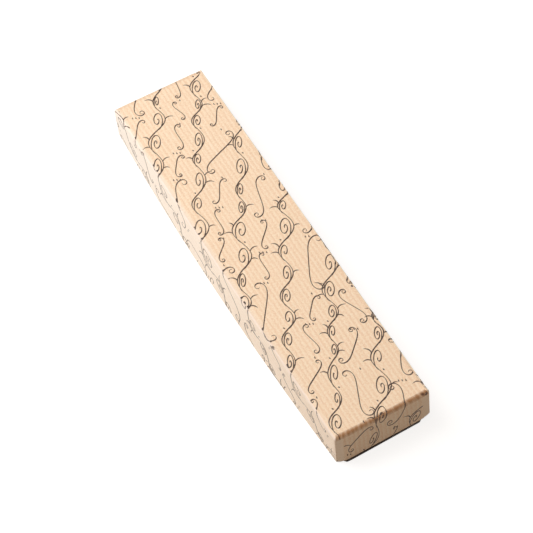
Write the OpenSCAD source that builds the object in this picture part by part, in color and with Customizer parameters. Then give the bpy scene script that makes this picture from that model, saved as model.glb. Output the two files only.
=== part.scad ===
// Calligraphy set box: a slim telescoping box of wrapped greyboard, with a pen, a vial of ink
// and a small box of spare nibs lying in a foam insert.
// X is across the box, Y along it and Z up. The origin is the middle of the base's underside.

/* [Box] */
// Length of the lid, from corner to corner
box_l = 226; // [225:1:300]
// Width of the lid, from corner to corner
box_w = 50; // [49:1:80]
// Height of the closed box
box_h = 20; // [19:0.1:40]
// Height of the lid's rim above the table
rim_gap = 1.3; // [0.5:0.1:6]
// How far the long walls bulge at the middle
side_bow = 0.7; // [0:0.1:2]
// How far the end walls bulge at the middle
end_bow = 0.4; // [0:0.1:1]
// Play between the lid's walls and the base's walls, on each side
lid_fit = 0.4; // [0.2:0.05:0.8]

/* [Board and paper] */
// Thickness of the greyboard
board_t = 1.5; // [1:0.1:1.6]
// Thickness of the lid's ribbed paper
lid_paper_t = 0.25; // [0.15:0.05:0.3]
// Thickness of the base's paper
base_paper_t = 0.2; // [0.1:0.05:0.3]
// Thickness of the lining under the lid's top
lining_t = 0.15; // [0.1:0.05:0.3]
// Margin left bare round the lining
lining_margin = 1.5; // [0.5:0.1:4]
// Thickness of the tape on the corners
stay_t = 0.12; // [0.05:0.01:0.3]
// Length of tape on each side of a corner
stay_leg = 9; // [5:0.5:14]
// How far the tape stops short of the wall's edges
stay_margin = 1.2; // [0.5:0.1:4]
// Width of the edge of paper turned under the base
turn_under = 12; // [6:0.5:18]
// Margin left bare round the sheet under the base
bottom_sheet_margin = 1; // [0.5:0.1:3]
// Gap between the lid's turned-in paper and its lining
turn_in_gap = 1; // [0.5:0.1:6]

/* [Insert] */
// Play round the foam in the base
insert_fit = 0.2; // [0.1:0.05:0.4]
// Thickness of the foam under the contents
insert_floor_t = 1.5; // [1:0.1:1.6]
// Thickness of the die-cut foam
insert_t = 11; // [9:0.1:12]
// Width of foam left along the long walls
insert_edge = 2.3; // [1.5:0.1:2.5]
// Width of foam left at the ends
insert_end = 3.6; // [2:0.1:4]
// Radius of the cut-outs' corners
cut_r = 3; // [1:0.1:4]
// Length of the finger recess beyond the vial's cap
recess_l = 30; // [22:1:40]
// Length of the finger notch beside the nib box
notch_l = 18; // [14:1:20]
// Gap under a round piece lying in the insert
lie_gap = 0.2; // [0.1:0.05:0.3]

/* [Pen] */
// Length of the wooden handle that shows
handle_l = 153; // [120:1:154]
// Largest diameter of the handle, at the grip
grip_d = 10; // [8.5:0.1:11]
// Diameter of the handle's waist behind the grip
waist_d = 7.4; // [6:0.1:8.5]
// Diameter of the handle near its tail
tail_d = 5; // [3:0.1:7]
// Diameter of the tail's bead
bead_d = 6.4; // [5.5:0.1:8]
// Play beside the pen in its slot
pen_play = 0.6; // [0.4:0.1:0.8]
// Length of the ferrule
ferrule_l = 18; // [16:0.5:20]
// Thickness of the ferrule's wall
ferrule_wall = 0.4; // [0.3:0.05:0.5]
// Clearance round the nib in the ferrule
nib_fit = 0.05; // [0.02:0.01:0.08]
// Thickness of the clip's metal
clip_t = 0.3; // [0.2:0.05:0.4]
// Number of sprung petals in the clip
petals = 4; // [3:1:6]
// Width of the gaps between the petals
petal_gap = 1; // [0.6:0.1:1.5]
// Length of the clip's ring
clip_ring_l = 1.2; // [0.8:0.1:1.5]
// Gap between the nib's heel and the clip's ring
clip_seat = 0.3; // [0.1:0.1:0.5]

/* [Nibs] */
// Radius of a nib's curve, outside
nib_r = 3.4; // [3:0.1:3.5]
// Thickness of a nib's metal
nib_t = 0.25; // [0.2:0.01:0.3]
// Angle that a nib's curve covers
nib_arc = 140; // [110:5:150]
// Length of a nib
nib_l = 34; // [30:0.5:35]
// Length of a nib inside the ferrule
nib_held_l = 12; // [10:0.5:12]
// Length of a nib's tapered blade
nib_blade_l = 17; // [14:0.5:18]
// Width of the pointed nib's tip
point_w = 0.4; // [0.3:0.05:0.8]
// Width of the fine broad nib's tip
fine_w = 1.5; // [1:0.1:1.8]
// Width of the medium broad nib's tip
medium_w = 2.5; // [2:0.1:2.8]
// Width of the wide broad nib's tip
wide_w = 3.8; // [3:0.1:4.5]
// Width of a nib's slit
slit_w = 0.12; // [0.08:0.01:0.2]
// Diameter of the hole at the slit's end
vent_d = 1.4; // [1:0.1:2]
// Distance from the tip to that hole
vent_from_tip = 11; // [9:0.5:13]

/* [Vial] */
// Diameter of the vial
vial_d = 13.6; // [12:0.1:14]
// Thickness of the glass
glass_t = 0.9; // [0.7:0.1:1.4]
// Length of the vial without its neck
vial_l = 50; // [30:1:54]
// Length of the vial's sloping shoulder
shoulder_l = 3.5; // [2:0.5:5]
// Diameter of the vial's neck
neck_d = 9.6; // [8.5:0.1:9.8]
// Length of the neck
neck_l = 9; // [8:0.5:11]
// How much thicker the glass is in the neck
neck_extra_t = 0.4; // [0:0.1:0.6]
// Thickness of the glass under the ink
vial_floor_t = 1.4; // [1:0.1:2.5]
// Share of the vial's height that the ink reaches, lying down
ink_level = 0.86; // [0.4:0.01:0.95]
// Thickness of the label
label_t = 0.1; // [0.05:0.01:0.15]
// Length of the label along the vial
label_l = 33; // [12:1:36]
// Diameter of the cap
cap_d = 12.4; // [11.8:0.1:13.4]
// Thickness of the cap's end
cap_end_t = 1.4; // [1:0.1:2]
// Play between the neck and the cap's bore, on each side
cap_play = 0.3; // [0.25:0.05:0.4]
// Gap between the closed cap and the shoulder
cap_gap = 0.5; // [0.3:0.1:1]
// Thickness of the liner in the cap
liner_t = 1; // [0.6:0.1:1.5]
// Clearance round the liner in the cap
liner_fit = 0.05; // [0.02:0.01:0.1]
// Number of grip grooves round the cap
cap_grooves = 30; // [18:1:36]
// Radius of a grip groove
groove_r = 0.35; // [0.2:0.05:0.4]
// Travel left in front of the cap, which its thread needs to come undone
cap_travel = 4.5; // [3:0.5:6]
// Play beside the vial in its slot
vial_play = 0.5; // [0.4:0.1:1]

/* [Nib box] */
// Width of the nib box
nib_box_w = 22.4; // [21.6:0.1:23.4]
// Length of the nib box
nib_box_l = 44; // [43:1:46]
// Thickness of the nib box's walls
nib_box_wall = 1; // [0.9:0.1:1]
// Thickness of the sliding lid
slide_t = 1.2; // [1:0.1:1.4]
// Depth of the grooves that hold the sliding lid
groove_depth = 0.5; // [0.3:0.1:0.6]
// Clearance round the sliding lid
slide_fit = 0.1; // [0.05:0.01:0.2]
// Height of plastic above the grooves
lip_h = 0.7; // [0.5:0.1:1]
// Gap between the foam's top and the sliding lid
slide_over = 0.3; // [0.2:0.1:0.5]
// Thickness of the pad under the nibs
pad_t = 2; // [1:0.1:4]
// Play round the pad and round the nib box
nib_box_play = 0.25; // [0.15:0.05:0.3]
// Height of the thumb ridge on the sliding lid
thumb_h = 0.5; // [0.3:0.1:0.6]

/* [Hidden] */

// Colours
kraft = [0.95, 0.84, 0.71];
greyboard = [0.62, 0.6, 0.56];
dark_paper = [0.2, 0.14, 0.12];
foam_colour = [0.17, 0.15, 0.14];
beech = [0.55, 0.33, 0.18];
brass = [0.8, 0.65, 0.35];
steel = [0.72, 0.73, 0.75];
bronze = [0.5, 0.38, 0.25];
clear = [0.85, 0.92, 0.95, 0.35];
ink_colour = [0.09, 0.07, 0.1];
black = [0.09, 0.09, 0.09];
cream = [0.94, 0.91, 0.83];

// Small overlap that a cut needs to go cleanly through a face
cut = 0.5;
// Number of straight pieces in a bulging wall
side_steps = 28;
end_steps = 10;
// Sides of the round pieces
round_fn = 72;

// Insets from the lid's outer face, from outside to inside
lid_board_out = lid_paper_t;
lid_board_in = lid_board_out + board_t;
lid_inside = lid_board_in + lid_paper_t;
base_outside = lid_inside + lid_fit;
base_board_out = base_outside + base_paper_t;
base_board_in = base_board_out + board_t;
base_inside = base_board_in + base_paper_t;
insert_outside = base_inside + insert_fit;

// Heights, from the table up
bottom_sheet_t = base_paper_t;
base_board_z = bottom_sheet_t + base_paper_t;
floor_z = base_board_z + board_t;
contents_z = floor_z + insert_floor_t;
insert_top_z = contents_z + insert_t;
lid_under_z = box_h - lid_paper_t - board_t - lining_t;
lid_board_top_z = box_h - lid_paper_t;
lid_board_under_z = lid_board_top_z - board_t;

// The foam's straight edges, where its cut-outs begin
foam_x = box_w / 2 - insert_outside;
foam_y = box_l / 2 - insert_outside;
cuts_x = foam_x - insert_edge;
cuts_y = foam_y - insert_end;

// The pen lies with its nib towards -Y
ferrule_bore_r = nib_r + nib_fit;
ferrule_r = ferrule_bore_r + ferrule_wall;
clip_ring_y = nib_held_l + clip_seat;
tenon_l = ferrule_l - clip_ring_y - clip_ring_l;
clip_r = nib_r - nib_t - nib_fit;
pen_slot_w = grip_d + 2 * pen_play;
pen_x = -cuts_x + pen_slot_w / 2;
pen_z = contents_z + lie_gap + grip_d / 2;
pen_end_play = 1.5;
nib_out_l = nib_l - nib_held_l;
pen_tip_y = -cuts_y + pen_end_play + nib_held_l;
mouth_y = pen_tip_y + nib_out_l;
handle_y = mouth_y + ferrule_l;
tail_y = handle_y + handle_l;
pen_slot_end_y = tail_y + pen_end_play;

// The vial lies with its cap towards +Y
vial_r = vial_d / 2;
lane_x = cuts_x - nib_box_w / 2 - nib_box_play;
vial_x = lane_x;
vial_z = contents_z + lie_gap + vial_r + label_t;
vial_end_play = 1;
vial_y = -cuts_y + vial_end_play;
neck_y = vial_y + vial_l;
neck_r = neck_d / 2;
neck_bore_r = neck_r - glass_t - neck_extra_t;
mouth_end_y = neck_y + neck_l;
cap_bore_r = neck_r + cap_play;
cap_y = neck_y + cap_gap;
cap_end_y = mouth_end_y + liner_t + cap_end_t;
vial_slot_w = vial_d + 2 * label_t + 2 * vial_play;
vial_slot_end_y = cap_end_y + cap_travel + vial_end_play;

// The finger recess joins the pen's slot and the vial's slot
recess_y = vial_slot_end_y - cut_r;

// The nib box stands at the far end of the vial's lane
nib_box_end_y = cuts_y - nib_box_play;
nib_box_y = nib_box_end_y - nib_box_l;
slide_z = insert_top_z + slide_over;
groove_z = slide_z - slide_fit;
tray_top_z = slide_z + slide_t + slide_fit + lip_h;
tray_floor_z = contents_z + nib_box_wall;
tray_inner_w = nib_box_w - 2 * nib_box_wall;
tray_inner_l = nib_box_l - 2 * nib_box_wall;
slide_w = tray_inner_w + 2 * groove_depth - 2 * slide_fit;
pad_top_z = tray_floor_z + pad_t;
spare_nib_z = pad_top_z + lie_gap - (nib_r - nib_t) * cos(nib_arc / 2);
spare_nib_y = nib_box_y + (nib_box_l - nib_l) / 2;
nib_w = 2 * nib_r * sin(nib_arc / 2);
spare_pitch = nib_w + (tray_inner_w - 3 * nib_w) / 4;

// Points of one bulging side, from one corner up to but not including the next
function bowed_side(from, to, out, bow, steps) = [
    for (i = [0 : steps - 1])
        let (t = i / steps)
        from + (to - from) * t + out * bow * 4 * t * (1 - t)
];

// Outline of the box at an inset from the lid's outer face
function outline(inset) =
    let (x = box_w / 2 - inset, y = box_l / 2 - inset)
    concat(
        bowed_side([x, -y], [x, y], [1, 0], side_bow, side_steps),
        bowed_side([x, y], [-x, y], [0, 1], end_bow, end_steps),
        bowed_side([-x, y], [-x, -y], [-1, 0], side_bow, side_steps),
        bowed_side([-x, -y], [x, -y], [0, -1], end_bow, end_steps)
    );

// Solid slab of that outline between two heights
module slab(inset, z0, z1) {
    translate([0, 0, z0])
        linear_extrude(z1 - z0)
            polygon(outline(inset));
}

// Tapes round the four upright corners, between two heights
module corner_stays(inset, z0, z1) {
    difference() {
        intersection() {
            slab(inset, z0 + stay_margin, z1 - stay_margin);
            for (sx = [-1, 1], sy = [-1, 1])
                translate([sx * (box_w / 2 - inset), sy * (box_l / 2 - inset), 0])
                    translate([-stay_leg, -stay_leg, 0])
                        cube([2 * stay_leg, 2 * stay_leg, box_h]);
        }
        slab(inset + stay_t, 0, box_h);
    }
}

// Flat shape of a rectangle with rounded corners, from its low corner to its high corner
module round_rect(low, high, r) {
    mid_x = low[0] + r;
    mid_y = low[1] + r;
    translate([mid_x, low[1]])
        square([high[0] - low[0] - 2 * r, high[1] - low[1]]);
    translate([low[0], mid_y])
        square([high[0] - low[0], high[1] - low[1] - 2 * r]);
    for (x = [mid_x, high[0] - r], y = [mid_y, high[1] - r])
        translate([x, y])
            circle(r, $fn = 32);
}

// Lays a turned shape down along Y, with its profile's zero at y
module lying(x, y, z) {
    translate([x, y, z])
        rotate([-90, 0, 0])
            children();
}

module lid_board() {
    color(greyboard)
        difference() {
            slab(lid_board_out, rim_gap + lid_paper_t, lid_board_top_z);
            slab(lid_board_in, 0, lid_board_under_z);
            corner_stays(lid_board_out, rim_gap + lid_paper_t, lid_board_top_z);
        }
}

module lid_corner_stays() {
    color(kraft)
        corner_stays(lid_board_out, rim_gap + lid_paper_t, lid_board_top_z);
}

module lid_wrap() {
    color(kraft) {
        difference() {
            slab(0, rim_gap, box_h);
            slab(lid_board_out, rim_gap + lid_paper_t, lid_board_top_z);
            slab(lid_inside, 0, lid_board_under_z);
        }
        difference() {
            slab(lid_board_in, rim_gap, lid_under_z - turn_in_gap);
            slab(lid_inside, 0, box_h);
        }
    }
}

module lid_lining() {
    color(cream)
        slab(lid_board_in + lining_margin, lid_under_z, lid_board_under_z);
}

module base_board() {
    color(greyboard)
        difference() {
            slab(base_board_out, base_board_z, lid_under_z - base_paper_t);
            slab(base_board_in, floor_z, box_h);
            corner_stays(base_board_out, base_board_z, lid_under_z - base_paper_t);
        }
}

module base_corner_stays() {
    color(kraft)
        corner_stays(base_board_out, base_board_z, lid_under_z - base_paper_t);
}

module base_wrap() {
    color(dark_paper) {
        difference() {
            slab(base_outside, bottom_sheet_t, lid_under_z);
            slab(base_board_out, base_board_z, lid_under_z - base_paper_t);
            slab(base_inside, base_board_z, box_h);
            slab(base_outside + turn_under, 0, base_board_z + cut);
        }
        difference() {
            slab(base_board_in, floor_z, lid_under_z);
            slab(base_inside, 0, box_h);
        }
    }
}

module base_bottom_sheet() {
    color(dark_paper) {
        slab(base_outside + bottom_sheet_margin, 0, bottom_sheet_t);
        slab(base_outside + turn_under, 0, base_board_z);
    }
}

module insert_floor() {
    color(foam_colour)
        slab(insert_outside, floor_z, contents_z);
}

// The flat shape of everything die-cut out of the insert
module insert_cuts() {
    pen_edge_x = pen_x - pen_slot_w / 2;
    round_rect([pen_edge_x, -cuts_y], [pen_edge_x + pen_slot_w, pen_slot_end_y], cut_r);
    round_rect(
        [vial_x - vial_slot_w / 2, -cuts_y],
        [vial_x + vial_slot_w / 2, vial_slot_end_y + 2 * cut_r],
        cut_r
    );
    round_rect([pen_edge_x, recess_y], [vial_x + vial_slot_w / 2, recess_y + recess_l], cut_r);
    box_edge = nib_box_w / 2 + nib_box_play;
    round_rect(
        [lane_x - vial_slot_w / 2, nib_box_y - notch_l],
        [lane_x + vial_slot_w / 2, nib_box_y + cut_r],
        cut_r
    );
    translate([lane_x - box_edge, nib_box_y - nib_box_play])
        square([2 * box_edge, nib_box_l + 2 * nib_box_play]);
}

module insert() {
    color(foam_colour)
        difference() {
            slab(insert_outside, contents_z, insert_top_z);
            translate([0, 0, contents_z - cut])
                linear_extrude(insert_t + 2 * cut)
                    insert_cuts();
        }
}

// Eases from 0 to 1 with no sudden start or stop
function ease(t) = (1 - cos(180 * t)) / 2;

// Radius between two named places along the handle
function blend(a, b, t) = a + (b - a) * ease(t);

// Radius of the handle at a share of its length, from the ferrule to the tail
grip_at = 0.14;
waist_at = 0.4;
tail_at = 0.95;
function handle_r(t) =
    t < grip_at ? blend(ferrule_r, grip_d / 2, t / grip_at)
    : t < waist_at ? blend(grip_d / 2, waist_d / 2, (t - grip_at) / (waist_at - grip_at))
    : t < tail_at ? blend(waist_d / 2, tail_d / 2, (t - waist_at) / (tail_at - waist_at))
    : bead_r(t);

// The rounded bead that ends the handle, never thinner than the tail where it begins
function bead_r(t) =
    let (u = (t - tail_at) / (1 - tail_at))
    u < 0.45 ? blend(tail_d / 2, bead_d / 2, u / 0.45)
    : bead_d / 2 * sqrt(max(0, 1 - pow((u - 0.45) / 0.55, 2)));

module pen_handle() {
    steps = 44;
    bead_steps = 12;
    shares = concat(
        [for (i = [0 : steps - 1]) tail_at * i / steps],
        [for (i = [0 : bead_steps - 1]) tail_at + (1 - tail_at) * sin(90 * i / bead_steps)]
    );
    profile = concat(
        [[0, -tenon_l], [ferrule_bore_r, -tenon_l], [ferrule_bore_r, 0]],
        [for (t = shares) [handle_r(t), handle_l * t]],
        [[0, handle_l]]
    );
    color(beech)
        lying(pen_x, handle_y, pen_z)
            rotate_extrude($fn = round_fn)
                polygon(profile);
}

module pen_ferrule() {
    bead = ferrule_wall * 1.6;
    color(brass)
        lying(pen_x, mouth_y, pen_z)
            rotate_extrude($fn = round_fn)
                difference() {
                    union() {
                        translate([ferrule_bore_r, 0])
                            square([ferrule_wall, ferrule_l]);
                        for (y = [bead, ferrule_l - bead, ferrule_l - 3 * bead])
                            translate([ferrule_r, y])
                                circle(bead / 2, $fn = 24);
                    }
                    square([ferrule_bore_r, ferrule_l]);
                }
}

module nib_clip() {
    color(steel)
        lying(pen_x, mouth_y, pen_z) {
            difference() {
                translate([0, 0, clip_ring_y])
                    cylinder(h = clip_ring_l, r = ferrule_bore_r, $fn = round_fn);
                translate([0, 0, clip_ring_y - cut])
                    cylinder(h = clip_ring_l + 2 * cut, r = clip_r - clip_t, $fn = round_fn);
            }
            difference() {
                translate([0, 0, clip_seat])
                    cylinder(h = clip_ring_y - clip_seat, r = clip_r, $fn = round_fn);
                translate([0, 0, clip_seat - cut])
                    cylinder(h = clip_ring_y + cut, r = clip_r - clip_t, $fn = round_fn);
                for (i = [0 : petals - 1])
                    rotate([0, 0, 360 * i / petals])
                        translate([0, -petal_gap / 2, clip_seat - cut])
                            cube([nib_r, petal_gap, clip_ring_y - clip_seat + cut]);
            }
        }
}

// Half the width of the flat shape that a nib is cut to, a little over the curved sheet's own
nib_half_w = nib_r * sin(nib_arc / 2) + 0.1;

// Half the width of a nib's blade at a share of its length, from the shoulder to the tip
function blade_half(tip_w, t) =
    tip_w / 2 + (nib_half_w - tip_w / 2) * pow(1 - t, 1.25) * (1 - 0.25 * sin(180 * t));

// A nib with its tip at y = 0, its heel at +Y, its curve's axis on Y and its back up
module nib(tip_w) {
    steps = 20;
    blade = [for (i = [0 : steps]) let (t = i / steps) [blade_half(tip_w, t), nib_blade_l * (1 - t)]];
    mirrored = [for (i = [steps : -1 : 0]) [-blade[i][0], blade[i][1]]];
    low_z = (nib_r - nib_t) * cos(nib_arc / 2);
    intersection() {
        rotate([-90, 0, 0])
            difference() {
                cylinder(h = nib_l, r = nib_r, $fn = round_fn);
                translate([0, 0, -cut])
                    cylinder(h = nib_l + 2 * cut, r = nib_r - nib_t, $fn = round_fn);
            }
        translate([0, 0, low_z])
            linear_extrude(nib_r)
                difference() {
                    polygon(concat([[nib_half_w, nib_l]], blade, mirrored, [[-nib_half_w, nib_l]]));
                    translate([-slit_w / 2, -cut])
                        square([slit_w, vent_from_tip + cut]);
                    translate([0, vent_from_tip])
                        circle(d = vent_d, $fn = 32);
                }
    }
}

module pointed_nib() {
    color(bronze)
        translate([pen_x, pen_tip_y, pen_z])
            nib(point_w);
}

// A spare nib in the nib box, in the left, middle or right place
module spare_nib(place, tip_w) {
    translate([lane_x + place * spare_pitch, spare_nib_y, spare_nib_z])
        nib(tip_w);
}

module fine_broad_nib() {
    color(steel)
        spare_nib(-1, fine_w);
}

module medium_broad_nib() {
    color(bronze)
        spare_nib(0, medium_w);
}

module wide_broad_nib() {
    color(steel)
        spare_nib(1, wide_w);
}

// Turned shape of the vial's outside, from its foot to its mouth
module vial_outside() {
    foot_r = 1.2;
    cylinder(h = foot_r, r1 = vial_r - foot_r, r2 = vial_r, $fn = round_fn);
    translate([0, 0, foot_r])
        cylinder(h = vial_l - shoulder_l - foot_r, r = vial_r, $fn = round_fn);
    translate([0, 0, vial_l - shoulder_l])
        cylinder(h = shoulder_l, r1 = vial_r, r2 = neck_r, $fn = round_fn);
    translate([0, 0, vial_l])
        cylinder(h = neck_l, r = neck_r, $fn = round_fn);
}

// Turned shape of the space inside the vial
module vial_inside() {
    inner_r = vial_r - glass_t;
    translate([0, 0, vial_floor_t])
        cylinder(h = vial_l - shoulder_l - vial_floor_t, r = inner_r, $fn = round_fn);
    translate([0, 0, vial_l - shoulder_l])
        cylinder(h = shoulder_l, r1 = inner_r, r2 = neck_bore_r, $fn = round_fn);
    translate([0, 0, vial_l])
        cylinder(h = neck_l, r = neck_bore_r, $fn = round_fn);
}

module ink_vial() {
    color(clear)
        lying(vial_x, vial_y, vial_z)
            difference() {
                vial_outside();
                vial_inside();
                // The bore runs out through the mouth
                translate([0, 0, vial_l + neck_l - cut])
                    cylinder(h = 2 * cut, r = neck_bore_r, $fn = round_fn);
            }
}

module ink() {
    level_z = vial_z + (vial_r - glass_t) * (2 * ink_level - 1);
    color(ink_colour)
        intersection() {
            lying(vial_x, vial_y, vial_z)
                vial_inside();
            translate([vial_x - vial_r, vial_y, vial_z - vial_r])
                cube([vial_d, vial_l + neck_l, level_z - vial_z + vial_r]);
        }
}

module vial_label() {
    toward_shoulder = 1;
    label_y = (vial_l - shoulder_l - label_l) / 2 + toward_shoulder;
    color(cream)
        lying(vial_x, vial_y + label_y, vial_z)
            difference() {
                cylinder(h = label_l, r = vial_r + label_t, $fn = round_fn);
                translate([0, 0, -cut])
                    cylinder(h = label_l + 2 * cut, r = vial_r, $fn = round_fn);
            }
}

module vial_cap() {
    cap_l = cap_end_y - cap_y;
    bore_l = cap_l - cap_end_t;
    plain_l = 1;
    groove_out = 0.1;
    color(black)
        lying(vial_x, cap_y, vial_z)
            difference() {
                cylinder(h = cap_l, r = cap_d / 2, $fn = round_fn);
                translate([0, 0, -cut])
                    cylinder(h = bore_l + cut, r = cap_bore_r, $fn = round_fn);
                for (i = [0 : cap_grooves - 1])
                    rotate([0, 0, 360 * i / cap_grooves])
                        translate([cap_d / 2 + groove_out, 0, plain_l])
                            cylinder(h = cap_l, r = groove_r, $fn = 16);
            }
}

module cap_liner() {
    color(cream)
        lying(vial_x, mouth_end_y, vial_z)
            cylinder(h = liner_t, r = cap_bore_r - liner_fit, $fn = round_fn);
}

module nib_box_tray() {
    low = [lane_x - nib_box_w / 2, nib_box_y, contents_z];
    color(clear)
        difference() {
            translate(low)
                cube([nib_box_w, nib_box_l, tray_top_z - contents_z]);
            // The space for the nibs
            translate([lane_x - tray_inner_w / 2, nib_box_y + nib_box_wall, tray_floor_z])
                cube([tray_inner_w, tray_inner_l, tray_top_z]);
            // The near wall ends under the sliding lid
            translate([lane_x - tray_inner_w / 2, nib_box_y - cut, groove_z])
                cube([tray_inner_w, nib_box_wall + 2 * cut, tray_top_z]);
            // The grooves
            translate([lane_x - tray_inner_w / 2 - groove_depth, nib_box_y - cut, groove_z])
                cube([
                    tray_inner_w + 2 * groove_depth,
                    nib_box_l - nib_box_wall + cut,
                    slide_t + 2 * slide_fit
                ]);
        }
}

module nib_box_lid() {
    ridges = 4;
    ridge_w = 0.6;
    ridge_pitch = 1.3;
    first_ridge = 2;
    ridge_l = tray_inner_w * 0.5;
    slide_l = nib_box_l - nib_box_wall - slide_fit;
    color(clear) {
        translate([lane_x - slide_w / 2, nib_box_y, slide_z])
            cube([slide_w, slide_l, slide_t]);
        for (i = [0 : ridges - 1])
            translate([lane_x - ridge_l / 2, nib_box_y + first_ridge + i * ridge_pitch, slide_z])
                cube([ridge_l, ridge_w, slide_t + thumb_h]);
    }
}

module nib_box_pad() {
    pad_w = tray_inner_w - 2 * nib_box_play;
    pad_l = tray_inner_l - 2 * nib_box_play;
    color(cream)
        translate([lane_x - pad_w / 2, nib_box_y + nib_box_wall + nib_box_play, tray_floor_z])
            cube([pad_w, pad_l, pad_t]);
}

lid_board();
lid_corner_stays();
lid_wrap();
lid_lining();
base_board();
base_corner_stays();
base_wrap();
base_bottom_sheet();
insert_floor();
insert();
pen_handle();
pen_ferrule();
nib_clip();
pointed_nib();
ink_vial();
ink();
vial_label();
vial_cap();
cap_liner();
nib_box_tray();
nib_box_lid();
nib_box_pad();
fine_broad_nib();
medium_broad_nib();
wide_broad_nib();
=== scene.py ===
"""Looks of the calligraphy set box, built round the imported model. Lengths are in metres."""
import collections
import functools
import math
import random

import bmesh
import bpy
from mathutils import Matrix, Vector


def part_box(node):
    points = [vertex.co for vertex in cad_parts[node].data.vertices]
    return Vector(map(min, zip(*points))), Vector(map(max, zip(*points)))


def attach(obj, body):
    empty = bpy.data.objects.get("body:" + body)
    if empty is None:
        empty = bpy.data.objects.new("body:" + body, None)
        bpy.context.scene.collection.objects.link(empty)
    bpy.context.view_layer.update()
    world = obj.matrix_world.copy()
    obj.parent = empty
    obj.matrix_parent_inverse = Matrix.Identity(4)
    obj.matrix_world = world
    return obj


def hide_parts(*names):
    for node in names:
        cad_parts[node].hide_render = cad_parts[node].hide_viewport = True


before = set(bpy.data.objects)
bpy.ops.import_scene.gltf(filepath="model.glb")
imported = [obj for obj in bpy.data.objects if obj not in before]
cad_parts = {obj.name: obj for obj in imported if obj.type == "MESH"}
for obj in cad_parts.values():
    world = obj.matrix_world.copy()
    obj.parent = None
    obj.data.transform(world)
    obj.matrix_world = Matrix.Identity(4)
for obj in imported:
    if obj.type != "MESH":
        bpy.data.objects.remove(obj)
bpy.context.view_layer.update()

MM = 0.001

# The camera, solved from the box's corners. The box's middle at the height of its top is its target.
AZIMUTH = math.radians(-22.64)
ELEVATION = math.radians(54.78)
ROLL = math.radians(-7.33)
DISTANCE = 1.0586
AIM_RIGHT = -1.44 * MM
AIM_UP = 11.14 * MM
FOCAL_PX = 2201
PHOTO_PX = 533
SENSOR = 36

# The lid's outer shape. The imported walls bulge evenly. The real ones are straight at the top and bulge
# at the rim, the left one the most, and the left wall reaches lower than the right one.
lid_low, lid_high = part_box("lid_wrap")
PACKED_SIDE_BOW = 0.7 * MM
PACKED_END_BOW = 0.4 * MM
SIDE_BOW_TOP = 0.05 * MM
LEFT_BOW_RIM, RIGHT_BOW_RIM = 2.9 * MM, 1.0 * MM
END_BOW_TOP, END_BOW_RIM = 0.2 * MM, 1.05 * MM
END_SKEW = 0.3
END_FULLNESS = 14
LEFT_DIP = 1.2 * MM
BOARD_EASE = 1.0 * MM
OUTER_SKIN = 1 * MM
TOP_SKIN = 0.5 * MM
HALF_W = lid_high.x - PACKED_SIDE_BOW
HALF_L = lid_high.y - PACKED_END_BOW
TOP_Z = lid_high.z
RIM_Z = lid_low.z
FOLD_R = 1.5 * MM
FOLD_ARC = FOLD_R * math.pi / 2
RIGHT_FOLD_R = 0.6 * MM
CORNER_R = 0.7 * MM
CORNER_ARC = CORNER_R * math.pi / 2
FLAT_X = HALF_W - FOLD_R
FLAT_Y = HALF_L - FOLD_R
RIM_R = 0.35 * MM
WALL_END = FOLD_ARC + TOP_Z - RIM_Z - FOLD_R - RIM_R

# The paper: ribs along the box, and an end flap that stops short of the corners
RIB_PITCH = 2 * HALF_W / 22.2
RIB_H = 0.025 * MM
FLAP_T = 0.2 * MM
FLAP_HALF = HALF_W - 4.5 * MM
FLAP_STEP = 0.04 * MM
EAR_H = 1.0 * MM
EAR_R = 1.7 * MM
EAR_IN = 0.6 * MM
SMALL_EAR = 0.2
EAR_TURN = 0.9
HOLLOW_D = 0.45 * MM
HOLLOW_R = 0.75 * MM
HOLLOW_S = FOLD_ARC * 0.4
HOLLOW_SQUASH = 1.3

Station = collections.namedtuple("Station", "panel sx sy pos turn")


def bow(amount, share, power=2):
    """How far a bulging wall stands out, at a share of its half length from the middle."""
    return amount * max(0.0, 1 - abs(share) ** power)


def down(z):
    """0 at the lid's top and 1 at its rim."""
    return min(1.0, max(0.0, (TOP_Z - z) / (TOP_Z - RIM_Z)))


def side_bulge(sx, share, z):
    """How far a long wall stands out at a share of its half length and at a height."""
    rim = RIGHT_BOW_RIM if sx > 0 else LEFT_BOW_RIM
    return bow(SIDE_BOW_TOP + (rim - SIDE_BOW_TOP) * down(z), share)


def end_bulge(share, z):
    """How far an end wall stands out. It is full nearly to the corners, and fuller on the left."""
    rim = END_BOW_RIM * (1 - END_SKEW * share)
    return bow(END_BOW_TOP + (rim - END_BOW_TOP) * down(z), share, END_FULLNESS)


def dipped(x, z):
    """The height of a point of the walls, which reach lower towards the left."""
    return z - LEFT_DIP * (0.5 - 0.5 * x / HALF_W) * down(z) ** 2


def between(low, high, value):
    """0 below low, 1 above high, and a smooth rise in between."""
    t = min(1.0, max(0.0, (value - low) / (high - low)))
    return t * t * (3 - 2 * t)


def around(xs, ys, steps):
    """Stations round the box, anticlockwise from the near end of the right side."""
    turns = [math.pi / 2 * i / steps for i in range(1, steps)]
    found = []
    for sign in (1, -1):
        found += [Station("side", sign, 0, y, 0) for y in ys[::sign]]
        found += [Station("corner", sign, sign, 0, t) for t in turns]
        found += [Station("end", 0, sign, x, 0) for x in xs[::-sign]]
        found += [Station("corner", -sign, sign, 0, t) for t in reversed(turns)]
    return found


def outward(st):
    """The level direction that faces out at a station."""
    if st.panel == "side":
        return Vector((st.sx, 0, 0))
    if st.panel == "end":
        return Vector((0, st.sy, 0))
    return Vector((st.sx * math.cos(st.turn), st.sy * math.sin(st.turn), 0))


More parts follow.
